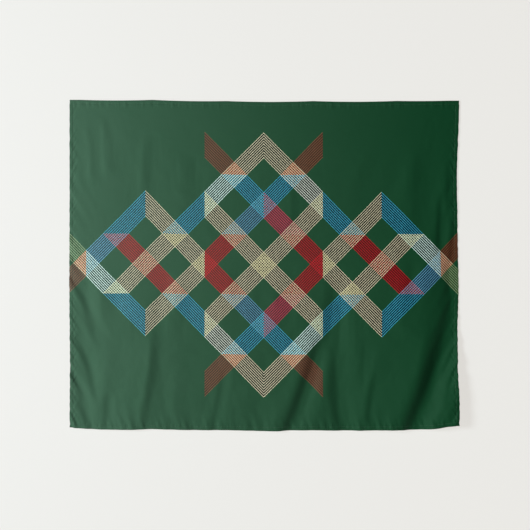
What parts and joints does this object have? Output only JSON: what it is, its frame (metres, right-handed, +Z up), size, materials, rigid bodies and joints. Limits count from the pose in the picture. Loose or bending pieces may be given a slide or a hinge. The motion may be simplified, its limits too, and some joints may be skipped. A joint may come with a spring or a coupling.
{
  "type": "tapestry wall hanging",
  "caption": "Printed cloth tapestry with stitched hems on all sides, hung flat on a wall by hidden hook and loop strips behind its top hem.",
  "frame": {"origin": "on the wall plane, at the middle of the cloth's top edge line, where the tapestry hangs", "axes": "+Z up, -Y out of the wall towards the room, +X to the viewer's right"},
  "size_m": [1.5041, 0.053, 1.2779],
  "materials": {
    "printed_cloth": "woven polyester, dye printed, soft sheen",
    "sewing_thread": "spun polyester thread",
    "label_satin": "satin ribbon, blank",
    "hook_tape": "moulded nylon hooks",
    "loop_tape": "brushed nylon loops",
    "adhesive_foam": "soft foam adhesive pad"
  },
  "bodies": {
    "wall_strips": {"wall_pad_1": "adhesive_foam", "hook_strip_1": "hook_tape", "wall_pad_2": "adhesive_foam", "hook_strip_2": "hook_tape", "wall_pad_3": "adhesive_foam", "hook_strip_3": "hook_tape", "wall_pad_4": "adhesive_foam", "hook_strip_4": "hook_tape", "wall_pad_5": "adhesive_foam", "hook_strip_5": "hook_tape", "wall_pad_6": "adhesive_foam", "hook_strip_6": "hook_tape"},
    "header": {"hem_top": "printed_cloth", "needle_thread_top": "sewing_thread", "bobbin_thread_top": "sewing_thread", "loop_strip_1": "loop_tape", "loop_strip_2": "loop_tape", "loop_strip_3": "loop_tape", "loop_strip_4": "loop_tape", "loop_strip_5": "loop_tape", "loop_strip_6": "loop_tape"},
    "curtain": {"cloth_panel": "printed_cloth", "hem_bottom": "printed_cloth", "hem_left": "printed_cloth", "hem_right": "printed_cloth", "needle_thread_bottom": "sewing_thread", "bobbin_thread_bottom": "sewing_thread", "needle_thread_left": "sewing_thread", "bobbin_thread_left": "sewing_thread", "needle_thread_right": "sewing_thread", "bobbin_thread_right": "sewing_thread", "care_label": "label_satin", "label_stitch": "sewing_thread"}
  },
  "joints": [
    {"name": "take_down", "type": "slide", "parent": "wall_strips", "child": "header", "axis": [0, -1, 0], "range_m": [0, 0.15]},
    {"name": "swing_out", "type": "hinge", "parent": "header", "child": "curtain", "pos_m": [0, -0.0054, -0.0197], "axis": [-1, 0, 0], "range_deg": [0, 60]}
  ]
}
